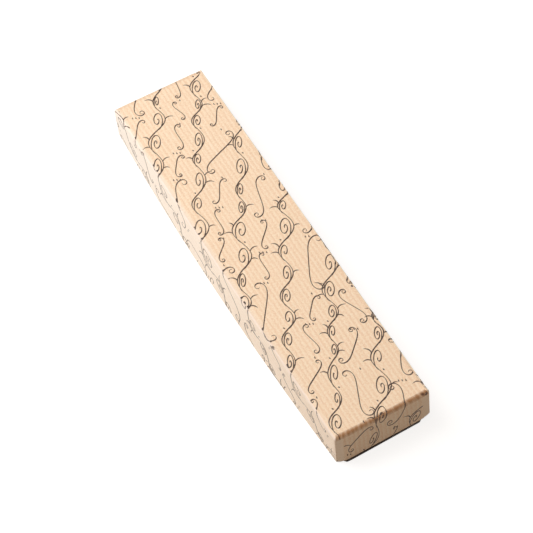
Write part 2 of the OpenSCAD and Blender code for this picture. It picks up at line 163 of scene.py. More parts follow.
def spot(st, inset, z, radius):
    """The point at a station, inset from the lid's face, at height z, with corners of a radius."""
    mid_x = HALF_W - inset - radius
    mid_y = HALF_L - inset - radius
    if st.panel == "side":
        share = st.pos / FLAT_Y
        bulge = clear_of_base(side_bulge(st.sx, share, z), bow(PACKED_SIDE_BOW, share), inset)
        x, y = st.sx * (HALF_W - inset + bulge), share * mid_y
    elif st.panel == "end":
        share = st.pos / FLAT_X
        bulge = clear_of_base(end_bulge(share, z), bow(PACKED_END_BOW, share), inset)
        x, y = share * mid_x, st.sy * (HALF_L - inset + bulge)
    else:
        out = outward(st) * radius
        x, y = st.sx * mid_x + out.x, st.sy * mid_y + out.y
    return Vector((x, y, dipped(x, z)))


def clear_of_base(bulge, packed, inset):
    """The bulge to use at a depth in the wall. The inner face comes no nearer to the base than packed."""
    return bulge if inset < OUTER_SKIN else max(bulge, packed)


def flared(point):
    """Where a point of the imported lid's board lies on the lid as it really bulges.

    Its top edges are eased in, so that the paper's round fold covers them.
    """
    sx = 1 if point.x > 0 else -1
    sy = 1 if point.y > 0 else -1
    share_x, share_y = min(1.0, abs(point.x) / HALF_W), min(1.0, abs(point.y) / HALF_L)
    side, end = bow(PACKED_SIDE_BOW, share_y), bow(PACKED_END_BOW, share_x)
    deep_x, deep_y = HALF_W + side - abs(point.x), HALF_L + end - abs(point.y)
    out_x = clear_of_base(side_bulge(sx, share_y, point.z), side, deep_x) - side
    out_y = clear_of_base(end_bulge(sx * share_x, point.z), end, deep_y) - end
    if point.z > TOP_Z - TOP_SKIN:
        out_x -= BOARD_EASE if deep_x < OUTER_SKIN else 0
        out_y -= BOARD_EASE if deep_y < OUTER_SKIN else 0
    x = point.x + sx * out_x * share_x
    y = point.y + sy * out_y * share_y
    return Vector((x, y, dipped(point.x, point.z)))


def rib(u):
    """Height of the paper's ribs at a distance across them."""
    return RIB_H * (0.5 + 0.5 * math.cos(2 * math.pi * u / RIB_PITCH))


def in_flap(st):
    """Whether a station lies on an end flap."""
    return st.panel == "end" and abs(st.pos) < FLAP_HALF


def relief(st, s):
    """Height of the outer paper over the folded form, at a distance s down from the flat top."""
    height = rib(st.pos if in_flap(st) else FLAT_X + s)
    if st.panel == "end":
        edge = between(FLAP_HALF + FLAP_STEP, FLAP_HALF - FLAP_STEP, abs(st.pos))
        height += FLAP_T * edge * between(FOLD_ARC * 0.7, FOLD_ARC * 1.3, s)
        height -= HOLLOW_D * hollow(st.pos, s)
    return height


def hollow(x, s):
    """1 in the small open fold at each flap's upper right corner, falling to 0 round it."""
    away = math.hypot(x - FLAP_HALF - HOLLOW_R, (s - HOLLOW_S) * HOLLOW_SQUASH)
    return math.exp(-((away / HOLLOW_R) ** 2))


def ear(x, y):
    """Height of the small folded ears at the lid's top corners, the near right one the tallest."""
    reach = math.hypot(abs(x) - HALF_W + EAR_IN, abs(y) - HALF_L + EAR_IN)
    size = EAR_H if x > 0 > y else EAR_H * SMALL_EAR
    return size * math.exp(-((reach / EAR_R) ** 2))


def fold_radius(st):
    """The radius of the top's fold at a station. The right fold is the sharpest."""
    if st.panel == "end" or st.sx < 0:
        return FOLD_R
    return RIGHT_FOLD_R + (FOLD_R - RIGHT_FOLD_R) * st.turn / (math.pi / 2)


def wall_spot(st, s, lift=0.0):
    """A point on the folded paper, at a distance s down from the flat top."""
    radius = fold_radius(st)
    past_flat = s - (FOLD_R - radius)
    phi = min(max(past_flat, 0.0) / radius, math.pi / 2)
    inset = radius * (1 - math.sin(phi)) - min(past_flat, 0.0)
    z = TOP_Z - radius * (1 - math.cos(phi)) - max(0.0, past_flat - radius * math.pi / 2)
    base = spot(st, inset, z, CORNER_R * math.sin(phi))
    raised = relief(st, s) + lift
    out = outward(st) * (math.sin(phi) * raised)
    up = math.cos(phi) * raised + ear(base.x, base.y) * math.cos(phi * EAR_TURN) ** 2
    return Vector((base.x + out.x, base.y + out.y, base.z + up))


def top_spot(x, y, lift=0.0):
    """A point on the lid's flat top."""
    wide = x * (1 + bow(SIDE_BOW_TOP, y / FLAT_Y) / FLAT_X)
    long = y * (1 + bow(END_BOW_TOP, x / FLAT_X) / FLAT_Y)
    return Vector((wide, long, TOP_Z + rib(x) + ear(x, y) + lift))


def paper_uv(st, s, flap):
    """Where a wall's point lies on the flat sheet of paper."""
    if st.panel == "side":
        return st.sx * (FLAT_X + s), st.pos
    if st.panel == "corner":
        return st.sx * (FLAT_X + s), st.sy * (FLAT_Y + CORNER_R * st.turn)
    if flap:
        return st.pos, st.sy * (FLAT_Y + s)
    return math.copysign(FLAT_X + s, st.pos), st.sy * (FLAT_Y + CORNER_ARC + FLAT_X - abs(st.pos))


def place(u, v, lift):
    """The place of a point of the flat sheet on the wrapped lid, or None where it doesn't show."""
    over_u = abs(u) - FLAT_X
    over_v = abs(v) - FLAT_Y
    if over_u <= 0 and over_v <= 0:
        return top_spot(u, v, lift)
    if max(over_u, over_v) > WALL_END:
        return None
    sx = 1 if u > 0 else -1
    sy = 1 if v > 0 else -1
    if over_u <= 0:
        if abs(u) > FLAP_HALF and over_v > FOLD_ARC:
            return None
        return wall_spot(Station("end", 0, sy, u, 0), over_v, lift)
    if over_v <= 0:
        return wall_spot(Station("side", sx, 0, v, 0), over_u, lift)
    return None


def spread(low, high, step):
    """Evenly spaced values from low to high, no more than a step apart."""
    count = max(1, math.ceil((high - low) / step))
    return [low + (high - low) * i / count for i in range(count + 1)]


def in_scene(name, data):
    """A new object with some data, in the scene."""
    made = bpy.data.objects.new(name, data)
    bpy.context.scene.collection.objects.link(made)
    return made


def new_piece(name, verts, faces, material, body, smooth=True):
    """A mesh object that rides on a body and takes its finish from a material slot."""
    mesh = bpy.data.meshes.new(name)
    mesh.from_pydata(verts, [], faces)
    mesh.validate()
    mesh.polygons.foreach_set("use_smooth", [smooth] * len(mesh.polygons))
    piece = in_scene(name, mesh)
    mesh.materials.append(material)
    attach(piece, body)
    return piece


def mark_sharp(piece, degrees):
    """Shades a piece smooth, with its edges over an angle kept crisp."""
    edit = bmesh.new()
    edit.from_mesh(piece.data)
    for edge in edit.edges:
        edge.smooth = len(edge.link_faces) == 2 and edge.calc_face_angle(0) < math.radians(degrees)
    edit.to_mesh(piece.data)
    edit.free()


# Materials


def opaque(shade):
    """A shade of red, green and blue, with an alpha of 1."""
    return (*shade[:3], 1.0)


def through(operation):
    """A method that puts a value and another one through a math node."""
    return lambda self, other=0.0: self.nodes.math(operation, self, other)


def through_last(operation):
    """A method that puts a number and the value after it through a math node."""
    return lambda self, other: self.nodes.math(operation, other, self)


class Value:
    """The output of a node. Sums, products and comparisons of it are nodes too."""

    def __init__(self, nodes, socket):
        self.nodes = nodes
        self.socket = socket

    __add__, __radd__ = through("ADD"), through_last("ADD")
    __sub__, __rsub__ = through("SUBTRACT"), through_last("SUBTRACT")
    __mul__, __truediv__ = through("MULTIPLY"), through("DIVIDE")
    __gt__, __lt__ = through("GREATER_THAN"), through("LESS_THAN")
    __pow__, __abs__ = through("POWER"), through("ABSOLUTE")

    def scaled(self, factor, offset):
        """The value times a factor, plus an offset."""
        return self.nodes.math("MULTIPLY_ADD", self, factor, offset)

    def held(self):
        """The value, held between 0 and 1."""
        self.socket.node.use_clamp = True
        return self


class Nodes:
    """A node tree being built. Each call adds a node and gives back its value."""

    def __init__(self, tree):
        self.tree = tree

    def put(self, socket, value):
        """Links a value to a socket, or sets the socket's own value or shade."""
        if isinstance(value, Value):
            self.tree.links.new(value.socket, socket)
        else:
            socket.default_value = opaque(value) if socket.type == "RGBA" else value

    def node(self, kind, inputs=None, output=0, **settings):
        made = self.tree.nodes.new("ShaderNode" + kind)
        for key, value in settings.items():
            setattr(made, key, value)
        for key, value in (inputs or {}).items():
            self.put(made.inputs[key], value)
        return Value(self, made.outputs[output])

    def math(self, operation, a, b=0.0, c=None):
        inputs = {0: a, 1: b} if c is None else {0: a, 1: b, 2: c}
        return self.node("Math", inputs, operation=operation)

    def axis(self, source, number):
        return self.node("SeparateXYZ", {0: source}, output=number)

    def highest(self, values):
        return functools.reduce(lambda a, b: self.math("MAXIMUM", a, b), values)

    def tint(self, base, share, shade):
        """A colour with a share of another shade over it."""
        inputs = {0: share, 6: base, 7: shade}
        return self.node("Mix", inputs, output=2, data_type="RGBA")


class Look(Nodes):
    """A node material being built."""

    def __init__(self, name):
        self.material = bpy.data.materials.new(name)
        self.material.use_nodes = True
        super().__init__(self.material.node_tree)
        self.surface = self.tree.nodes["Principled BSDF"]

    def ramp(self, value, *stops):
        """A colour that follows a value through stops of place and shade."""
        made = self.tree.nodes.new("ShaderNodeValToRGB")
        self.put(made.inputs[0], value)
        elements = made.color_ramp.elements
        while len(elements) < len(stops):
            elements.new(1.0)
        for element, (at, shade) in zip(elements, stops):
            element.position = at
            element.color = opaque(shade)
        return Value(self, made.outputs[0])

    def place(self):
        """The place on the object, in metres."""
        return self.node("TexCoord", output=3)

    def stretched(self, source, scale, turned=(0, 0, 0)):
        return self.node("Mapping", {0: source, 2: turned, 3: scale})

    def noise(self, source, scale, detail=4.0, rough=0.5):
        inputs = {"Vector": source, "Scale": scale, "Detail": detail, "Roughness": rough}
        return self.node("TexNoise", inputs)

    def grain(self, source, scale, detail=2.0, rough=0.5):
        """Noise with a scale of its own along each axis."""
        return self.noise(self.stretched(source, scale), 1.0, detail, rough)

    def band(self, value, middle, below, above=None):
        """1 at the middle of a band, falling to 0 at a distance below it and another above it."""
        off = value - middle
        low = self.highest((1.0 + off / below, 0.0))
        high = self.highest((1.0 - off / (above or below), 0.0))
        return self.math("MINIMUM", low, high)

    def covered(self, base, rough, height, depth, strength):
        """Gives the surface a colour, a roughness and a bump that is depth mm deep."""
        bump = {"Height": height, "Distance": depth * MM, "Strength": strength}
        return self.finish(Base_Color=base, Roughness=rough, Normal=self.node("Bump", bump))

    def finish(self, **inputs):
        """Sets the surface's inputs, named with _ for a space, and gives back the material."""
        for key, value in inputs.items():
            self.put(self.surface.inputs[key.replace("_", " ")], value)
        return self.material


def fibres(look, source, scale, amount):
    """A map of short fibres lying in all directions, 0 between them."""
    strands = []
    for turn in (0.3, 1.4, 2.5):
        lay = look.stretched(source, (scale, scale * 0.12, scale), (0, 0, turn))
        strands.append(look.noise(lay, 1.0, 2.0) > 1 - amount)
    return look.highest(strands)


KRAFT_STOPS = ((0.3, (0.865, 0.62, 0.42)), (0.5, (0.93, 0.715, 0.51)), (0.72, (0.96, 0.785, 0.605)))
KRAFT_CLOUD = (0.86, 0.60, 0.41)
KRAFT_FIBRE = (0.62, 0.40, 0.25)
# Painted sheen: the pale veil laid over the left wall's paper
LEFT_SHEEN = (0.935, 0.84, 0.745)
# Brown of the end folds, partly painted shade
END_FOLD = (0.38, 0.185, 0.078)
# Painted shade that dims the left fold's highlight
LEFT_FOLD = (0.78, 0.63, 0.535)
# Painted light that brightens the right fold where it turns from the lamps
RIGHT_FOLD = (0.99, 0.87, 0.70)
CREASE = (0.42, 0.22, 0.12)
# Painted shade for the open fold at the near right corner
POCKET = (0.12, 0.055, 0.03)


def kraft_tone(look, sheet, u, v, ribs, streak, fine):
    """How pale the paper is: by its ribs and streaks on the panels, and even where the ends tuck round,
    where it is also painted paler as light on the rounded corners.
    """
    depth = look.grain(sheet, (700, 40, 1)) * 0.48
    mottle = look.grain(sheet, (1400, 1000, 1), 2.0, 0.6)
    tone = (ribs - 0.5) * depth + streak * 0.62 + fine * 0.38 + (mottle - 0.5) * 1.4
    # Painted light: where the side paper tucks round the ends, the tone is evened out and raised paler
    tucked = (abs(u) > FLAT_X) * (abs(v) > FLAT_Y + CORNER_ARC) * 0.75
    return tone + tucked * (0.74 - tone)


def end_fold_wear_and_shade(look, sheet, u, v, ribs, streak):
    """How brown the end flaps' folds are: frayed and patchy, and much fainter at the far end. The brown is
    partly the folds' own and partly painted shade, which is why the near end, facing away from the key
    lamp, is darker.
    """
    fray = look.grain(sheet, (420, 60, 1), 3.0, 0.7)
    middle = fray.scaled(0.7 * MM, FLAT_Y + FOLD_ARC * 0.65 - 1.35 * MM)
    fold = look.band(abs(v), middle, 1.3 * MM, 2.0 * MM)
    patches = (look.grain(sheet, (620, 90, 1), 2.0, 0.6) - 0.5) * 1.5
    rubbed = 1.02 + (patches + (ribs - 0.5) * -0.2)
    wear = fold ** 0.55 * (abs(u) < FLAT_X) * (0.66 + streak * 0.7)
    wear = wear * look.highest((rubbed, 0.5))
    # Full strength at the near end and a quarter at the far end: the difference is painted shade
    return (wear * (0.25 + (v < 0.0) * 0.75)).held()


def left_painted_sheen(u, v):
    """How much painted sheen pales the left wall's paper, more so towards the far end: a pale veil that
    stands in for the glare on that wall.
    """
    past_fold = ((-FLAT_X + 0.9 * MM - u) / (1.4 * MM)).held()
    return (past_fold * v.scaled(0.28 / FLAT_Y, 0.46)).held()


def crease_darkening(look, u, v, cloud):
    """How much darker the colour is along a broken line on the right fold, running into the near corner."""
    crease = look.band(u, FLAT_X + 0.5 * MM, 0.3 * MM)
    to_corner = ((-0.72 * FLAT_Y - v) / (16 * MM)).held()
    return (crease * to_corner * (cloud * 2.6 - 0.75).held() * 0.75).held()


def pocket_painted_shade(look, sheet):
    """How much painted shade darkens the open fold at the near right corner, over its small hollow."""
    pocket = look.node("CombineXYZ", {0: FLAP_HALF + HOLLOW_R, 1: -FLAT_Y - HOLLOW_S})
    away = look.node("VectorMath", {0: sheet, 1: pocket}, output=1, operation="DISTANCE")
    return ((1.0 - away / (1.5 * HOLLOW_R)).held() * 1.3).held()


def kraft_look():
    """Pale ribbed kraft with streaks along the ribs, fibres, and the marks of its folds, with painted light
    and shade on the folds, the tucked corners and the left wall.
    """
    look = Look("ribbed_kraft_paper")
    sheet = look.node("UVMap", uv_map="paper")
    u = look.axis(sheet, 0)
    v = look.axis(sheet, 1)
    phase = u * (2 * math.pi / RIB_PITCH) + look.grain(sheet, (60, 9, 1)) * 1.6
    ribs = look.math("COSINE", phase).scaled(0.5, 0.5)
    streak = look.grain(sheet, (2400, 70, 1), 3.0, 0.6)
    fine = look.grain(sheet, (5200, 900, 1), 2.0, 0.6)
    cloud = look.grain(sheet, (55, 28, 1), 3.0)
    strands = fibres(look, sheet, 1900, 0.33)
    base = look.ramp(kraft_tone(look, sheet, u, v, ribs, streak, fine), *KRAFT_STOPS)
    # The cloud and fibres are the paper's own; the left wall's sheen, the fold bands and the pocket are
    # painted light and shade, and the end folds' brown is partly painted shade
    marks = (
        (cloud * 0.22, KRAFT_CLOUD),
        (left_painted_sheen(u, v), LEFT_SHEEN),
        (strands * 0.16, KRAFT_FIBRE),
        (end_fold_wear_and_shade(look, sheet, u, v, ribs, streak), END_FOLD),
        # painted shade on the left fold
        (look.band(u, -FLAT_X - 1.15 * MM, 1.5 * MM, 1.0 * MM) * 0.9, LEFT_FOLD),
        # painted light on the right fold
        (look.band(u, FLAT_X + 1.2 * MM, 0.9 * MM) * 0.7, RIGHT_FOLD),
        (crease_darkening(look, u, v, cloud), CREASE),
        (pocket_painted_shade(look, sheet), POCKET),
    )
    for share, shade in marks:
        base = look.tint(base, share, shade)
    tooth = streak * 0.5 + fine * 0.6 + strands * 0.25
    look.covered(base, streak.scaled(0.16, 0.52), tooth, 0.05, 0.8)
    return look.finish(Sheen_Weight=0.2, Sheen_Roughness=0.4)


def print_look():
    """Brown-black ink soaked a little into the paper, painted paler on the left wall as glare over it."""
    look = Look("brown_black_print")
    soak = look.noise(look.place(), 900, 3.0, 0.6)
    base = look.ramp(soak, (0.3, (0.038, 0.020, 0.013)), (0.7, (0.092, 0.053, 0.036)))
    # Painted glare: on the left wall the ink is lightened towards a pale brown
    left_glare = look.axis(look.place(), 0) < -HALF_W + 0.4 * MM
    base = look.tint(base, left_glare * 0.4, (0.40, 0.33, 0.27))
    return look.covered(base, 0.6, soak, 0.01, 0.5)


def board_look():
    """Grey pulp board with dark and pale flecks."""
    look = Look("greyboard")
    at = look.place()
    cloud = look.noise(at, 120, 4.0, 0.6)
    fleck = look.noise(at, 1500, 3.0, 0.7)
    base = look.ramp(cloud, (0.3, (0.30, 0.275, 0.24)), (0.7, (0.44, 0.41, 0.365)))
    base = look.tint(base, fleck > 0.62, (0.16, 0.14, 0.125))
    base = look.tint(base, fleck < 0.36, (0.62, 0.59, 0.54))
    return look.covered(base, 0.88, fleck, 0.08, 0.6)


def tape_look():
    """Brown gummed paper tape with a fine crepe."""
    look = Look("gummed_tape")
    at = look.place()
    crepe = look.grain(at, (300, 300, 3000), 3.0)
    base = look.ramp(crepe, (0.3, (0.42, 0.26, 0.14)), (0.7, (0.60, 0.41, 0.25)))
    return look.covered(base, 0.55, crepe, 0.03, 0.6)


def plain_paper_look(name, low, high, roughness):
    """Uncoated paper of one colour, with soft clouding and fibres."""
    look = Look(name)
    at = look.place()
    cloud = look.noise(at, 90, 3.0)
    tooth = look.noise(at, 2600, 3.0, 0.6)
    base = look.tint(low, cloud, high)
    base = look.tint(base, fibres(look, at, 1500, 0.34) * 0.2, [c * 0.6 for c in low])
    return look.covered(base, roughness, tooth, 0.04, 0.7)


def dark_paper_look():
    """Brown-black covering paper with a fine leatherette grain, rubbed paler on its high spots."""
    look = Look("dark_covering_paper")
    at = look.place()
    cells = look.node("TexVoronoi", {"Vector": at, "Scale": 1500.0})
    grain = look.noise(at, 1200, 4.0, 0.6)
    height = cells * 0.7 + grain * 0.5
    base = look.ramp(height, (0.25, (0.022, 0.014, 0.011)), (0.75, (0.062, 0.041, 0.033)))
    return look.covered(base, 0.62, height, 0.05, 0.7)


def flock_look():
    """Flocked foam: a short dense pile that brushes lighter in patches."""
    look = Look("flocked_foam")
    at = look.place()
    pile = look.noise(at, 4200, 4.0, 0.75)
    patch = look.grain(at, (60, 34, 60), 2.0)
    shade = pile * 0.65 + patch * 0.4
    base = look.ramp(shade, (0.35, (0.014, 0.010, 0.009)), (0.75, (0.062, 0.046, 0.040)))
    look.covered(base, 0.95, pile, 0.16, 0.9)
    return look.finish(Sheen_Weight=0.5, Sheen_Roughness=0.4, Specular_IOR_Level=0.1)


def wood_look():
    """Lacquered walnut turned along the box: long grain, pores and slow colour changes."""
    look = Look("turned_walnut")
    at = look.place()
    warp = look.grain(at, (90, 14, 90), 3.0)
    lines = look.stretched(at, (330, 16, 330), (0, 0, 0.06))
    wave = {"Vector": lines, "Scale": 1.0, "Distortion": 5.5, "Detail": 3.0}
    rings = look.node("TexWave", wave, 1, wave_type="RINGS", rings_direction="Y")
    pores = look.grain(at, (4200, 170, 4200), 3.0, 0.65)
    tone = rings * 0.55 + warp * 0.5
    base = look.ramp(
        tone,
        (0.2, (0.115, 0.043, 0.018)),
        (0.5, (0.245, 0.105, 0.044)),
        (0.85, (0.40, 0.20, 0.092)),
    )
    base = look.tint(base, pores > 0.60, (0.06, 0.024, 0.012))
    look.covered(base, pores.scaled(0.25, 0.2), pores, 0.03, 0.35)
    return look.finish(Coat_Weight=0.5, Coat_Roughness=0.16)


def turned_metal_look(name, low, high, lines, roughness):
    """Metal with fine marks that run round a piece lying along the box."""
    look = Look(name)
    at = look.place()
    marks = look.grain(at, (40, lines, 40), 2.0, 0.6)
    film = look.noise(at, 260, 3.0)
    base = look.tint(low, film, high)
    look.covered(base, marks.scaled(0.22, roughness), marks, 0.01, 0.5)
    return look.finish(Metallic=1.0)


def nib_look(name, cold, warm):
    """Pressed nib steel, brushed along its length and tinted by heat towards the shoulder."""
    look = Look(name)
    at = look.place()
    brushed = look.grain(at, (5200, 240, 5200), 2.0, 0.6)
    heat = look.grain(at, (70, 45, 70), 2.0)
    base = look.ramp(heat, (0.35, cold), (0.65, warm))
    look.covered(base, brushed.scaled(0.2, 0.2), brushed, 0.008, 0.5)
    return look.finish(Metallic=1.0)


def clear_look(name, tint, roughness, ripple, index):
    """Clear glass or plastic with a slight ripple in its surface."""
    look = Look(name)
    at = look.place()
    wave = look.noise(at, ripple, 2.0)
    base = look.tint(tint, look.noise(at, 60, 2.0), [min(1, c * 1.03) for c in tint])
    look.covered(base, roughness, wave, 0.01, 0.02)
    return look.finish(Transmission_Weight=1.0, IOR=index)


def ink_look():
    """Black-violet ink, wet and dark."""
    look = Look("writing_ink")
    swirl = look.noise(look.place(), 240, 3.0)
    base = look.ramp(swirl, (0.35, (0.006, 0.005, 0.010)), (0.7, (0.022, 0.014, 0.032)))
    look.covered(base, 0.06, swirl, 0.005, 0.2)
    return look.finish(Coat_Weight=0.6)


def label_look():
    """Cream label with a plain brown double border near both ends."""
    look = Look("vial_label_paper")
    at = look.place()
    low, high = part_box("vial_label")
    along = look.axis(at, 1)
    base = look.tint((0.80, 0.72, 0.56), look.noise(at, 120, 3.0), (0.87, 0.81, 0.67))
    rules = []
    for edge, inward in ((low.y, 1), (high.y, -1)):
        for off, width in ((1.6 * MM, 0.32 * MM), (2.5 * MM, 0.14 * MM)):
            rules.append(look.band(along, edge + inward * off, width) > 0.1)
    base = look.tint(base, look.highest(rules), (0.11, 0.055, 0.03))
    tooth = look.noise(at, 2600, 3.0, 0.6)
    return look.covered(base, 0.6, tooth, 0.03, 0.6)


def cap_look():
    """Black phenolic with a faint mould texture and rubbed ridges."""
    look = Look("cap_phenolic")
    at = look.place()
    mould = look.noise(at, 1800, 3.0, 0.6)
    rub = look.node("NewGeometry", output=7)
    worn = ((rub - 0.5).held() * 2.2).held()
    base = look.tint((0.014, 0.013, 0.013), worn, (0.055, 0.052, 0.05))
    return look.covered(base, mould.scaled(0.2, 0.26), mould, 0.02, 0.4)


def pad_look():
    """Cream foam with open pores, painted darker as shade inside them."""
    look = Look("pad_foam")
    at = look.place()
    cells = look.node("TexVoronoi", {"Vector": at, "Scale": 2400.0})
    # Painted shade: the pores are darker than the cream foam
    base = look.ramp(cells, (0.1, (0.45, 0.40, 0.31)), (0.5, (0.80, 0.755, 0.66)))
    return look.covered(base, 0.95, cells, 0.15, 0.7)


kraft = kraft_look()
printed = print_look()
greyboard = board_look()
tape = tape_look()
dark_paper = dark_paper_look()
flock = flock_look()
glass = clear_look("vial_glass", (0.93, 0.97, 0.96), 0.02, 110, 1.5)
clear_plastic = clear_look("clear_styrene", (0.95, 0.97, 0.98), 0.06, 180, 1.49)
warm_nib = nib_look("bronzed_nib", (0.30, 0.185, 0.10), (0.50, 0.33, 0.17))
steel_nib = nib_look("steel_nib", (0.50, 0.50, 0.52), (0.68, 0.67, 0.66))

looks = {
    "lid_board": greyboard,
    "lid_corner_stays": tape,
    "lid_lining": plain_paper_look("lining_paper", (0.82, 0.76, 0.63), (0.90, 0.85, 0.74), 0.7),
    "base_board": greyboard,
    "base_corner_stays": tape,
    "base_wrap": dark_paper,
    "base_bottom_sheet": dark_paper,
    "insert_floor": flock,
    "insert": flock,
    "pen_handle": wood_look(),
    "pen_ferrule": turned_metal_look("drawn_brass", (0.72, 0.50, 0.20), (0.84, 0.62, 0.29), 5200, 0.16),
    "nib_clip": turned_metal_look("spring_steel", (0.46, 0.46, 0.48), (0.62, 0.62, 0.62), 3000, 0.24),
    "pointed_nib": warm_nib,
    "ink_vial": glass,
    "ink": ink_look(),
    "vial_label": label_look(),
    "vial_cap": cap_look(),
    "cap_liner": plain_paper_look("pulp_liner", (0.66, 0.62, 0.54), (0.78, 0.75, 0.68), 0.8),
    "nib_box_tray": clear_plastic,
    "nib_box_lid": clear_plastic,
    "nib_box_pad": pad_look(),
    "fine_broad_nib": steel_nib,
    "medium_broad_nib": warm_nib,
    "wide_broad_nib": steel_nib,
}
for node_name, look_used in looks.items():
    mesh_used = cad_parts[node_name].data
    mesh_used.materials.clear()
    mesh_used.materials.append(look_used)


# The lid's paper

PAPER_T = 0.25 * MM
WALL_T = 2 * MM
TURN_IN_GAP = 1 * MM
INNER_CORNER_R = 0.15 * MM
CORNER_STEPS = 4
POINTS_PER_RIB = 6
FOLD_STEPS = 5
LONG_STEP = 2.5 * MM
MID_WALL = 0.6


class Sheet:
    """A sheet of paper being folded: its corners, its faces, and where each face lies on it when flat."""

    def __init__(self):
        self.verts, self.faces, self.uvs = [], [], []

    def face(self, corners, flat):
        """Adds a face, without the corners that fall together."""
        kept = [i for i in range(len(corners)) if corners[i] != corners[i - 1]]
        if len(kept) > 2:
            self.faces.append([corners[i] for i in kept])
            self.uvs.append([flat[i] for i in kept])

    def hidden(self, corners):
        self.face(corners, [(0, 0)] * len(corners))


def columns():
    """The places across the lid, with a pair close together at each edge of the end flaps."""
    near_edge = 0.12 * MM
    edges = [side * (FLAP_HALF + off) for side in (-1, 1) for off in (-FLAP_STEP, FLAP_STEP)]
    xs = spread(-FLAT_X, FLAT_X, RIB_PITCH / POINTS_PER_RIB)
    return sorted([x for x in xs if all(abs(x - e) > near_edge for e in edges)] + edges)


def lay_top(sheet, xs, ys):
    """The lid's flat top, as a grid."""
    across = len(xs)
    for y in ys:
        sheet.verts.extend(top_spot(x, y) for x in xs)
    for j in range(len(ys) - 1):
        for i in range(across - 1):
            a = j * across + i
            corners = [a, a + 1, a + across + 1, a + across]
            flat = [(xs[i], ys[j]), (xs[i + 1], ys[j]), (xs[i + 1], ys[j + 1]), (xs[i], ys[j + 1])]
            sheet.face(corners, flat)


def top_index(st, xs, ys):
    """The corner of the top's grid from which a station's wall hangs."""
    across = len(xs)
    last_row = (len(ys) - 1) * across if st.sy > 0 else 0
    right = across - 1 if st.sx > 0 else 0
    if st.panel == "side":
        return ys.index(st.pos) * across + right
    if st.panel == "end":
        return last_row + xs.index(st.pos)
    return last_row + right


def wall_rows():
    """Rows of points down the wall: the fold and the face, then the rim, the turned-in edge and the back.

    A row is a distance down the paper, or the inset, height and corner radius that spot takes.
    """
    turn_in_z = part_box("lid_lining")[0].z - TURN_IN_GAP
    face_rows = spread(0, FOLD_ARC, FOLD_ARC / FOLD_STEPS)[1:]
    face_rows += spread(FOLD_ARC, WALL_END, RIB_PITCH / POINTS_PER_RIB)[1:]
    rim = [(RIM_R * (1 - math.cos(a)), RIM_Z + RIM_R * (1 - math.sin(a))) for a in (0.5, 1.05, math.pi / 2)]
    rows = [(s,) for s in face_rows]
    rows += [(inset, z, CORNER_R) for inset, z in rim]
    inner = [(WALL_T - inset, z) for inset, z in reversed(rim)]
    inner += [(WALL_T, z) for z in (RIM_Z + RIM_R, MID_WALL * TOP_Z, turn_in_z)]
    inner += [(WALL_T - PAPER_T, z) for z in (turn_in_z, RIM_Z + PAPER_T)]
    inner += [(PAPER_T, RIM_Z + PAPER_T), (FOLD_R, TOP_Z - PAPER_T)]
    return rows + [(inset, z, INNER_CORNER_R) for inset, z in inner]


def lay_walls(sheet, ring, previous):
    """The walls, row by row round the box. Gives back the corners of the last row."""
    run = 0.0
    for row in wall_rows():
        start = len(sheet.verts)
        before = run
        if len(row) == 1:
            run = row[0]
            sheet.verts.extend(wall_spot(st, run) for st in ring)
        else:
            points = [spot(st, *row) for st in ring]
            run += (points[0] - Vector(sheet.verts[start - len(ring)])).length
            sheet.verts.extend(points)
        current = list(range(start, start + len(ring)))
        for k in range(len(ring)):
            n = (k + 1) % len(ring)
            flap = in_flap(ring[k]) and in_flap(ring[n])
            if ring[k].panel == ring[n].panel == "end" and run <= FOLD_ARC:
                flap = True
            places = ((k, before), (k, run), (n, run), (n, before))
            flat = [paper_uv(ring[i], s, flap) for i, s in places]
            sheet.face([previous[k], current[k], current[n], previous[n]], flat)
        previous = current
    return previous


def lay_underside(sheet, last_row, along, across):
    """The hidden underside of the top, in strips from side to side and one piece at each end."""
    in_corner = CORNER_STEPS - 1
    left = along + in_corner + across + in_corner
    for j in range(along - 1):
        a, b = last_row[j], last_row[j + 1]
        c, d = last_row[left + along - 2 - j], last_row[left + along - 1 - j]
        sheet.hidden([a, d, c, b])
    far = [last_row[i] for i in range(along - 1, left + 1)]
    near = [last_row[i] for i in range(left + along - 1, len(last_row))] + [last_row[0]]
    sheet.hidden(list(reversed(far)))
    sheet.hidden(list(reversed(near)))


def wrapped_paper():
    """The lid's covering as one closed sheet: top, folded walls, rim and the edge turned in."""
    xs = columns()
    ys = spread(-FLAT_Y, FLAT_Y, LONG_STEP)
    ring = around(xs, ys, CORNER_STEPS)
    sheet = Sheet()
    lay_top(sheet, xs, ys)
    last_row = lay_walls(sheet, ring, [top_index(st, xs, ys) for st in ring])
    lay_underside(sheet, last_row, len(ys), len(xs))
    piece = new_piece("lid_paper", sheet.verts, sheet.faces, kraft, "lid")
    layer = piece.data.uv_layers.new(name="paper")
    layer.data.foreach_set("uv", [value for face in sheet.uvs for point in face for value in point])
    mark_sharp(piece, 40)
    return piece


lid_paper = wrapped_paper()
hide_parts("lid_wrap")


# The print: rows of scrolling pen flourishes. The sheet lies flat while they are drawn, in millimetres.

PRINT_SEED = 41
PRINT_LIFT = 0.035 * MM
PRINT_SINK = -PRINT_LIFT * 0.5
ROW_GAP = 10.3
ROW_TURN = math.radians(63)
NIB_TURN = math.radians(38)
THIN, THICK = 0.5, 1.08
NIB_CONTRAST = 1.6
POINT_STEP = 0.4
TENDRIL_AT = 0.47
TENDRIL_SIZE = 0.44
TENDRIL_RISE = 0.74
WIDEST_JUMP = 1.5 * MM
SAME_SPOT = 1e-6


def steps(count):
    """Shares from 0 to 1."""
    return [i / count for i in range(count + 1)]


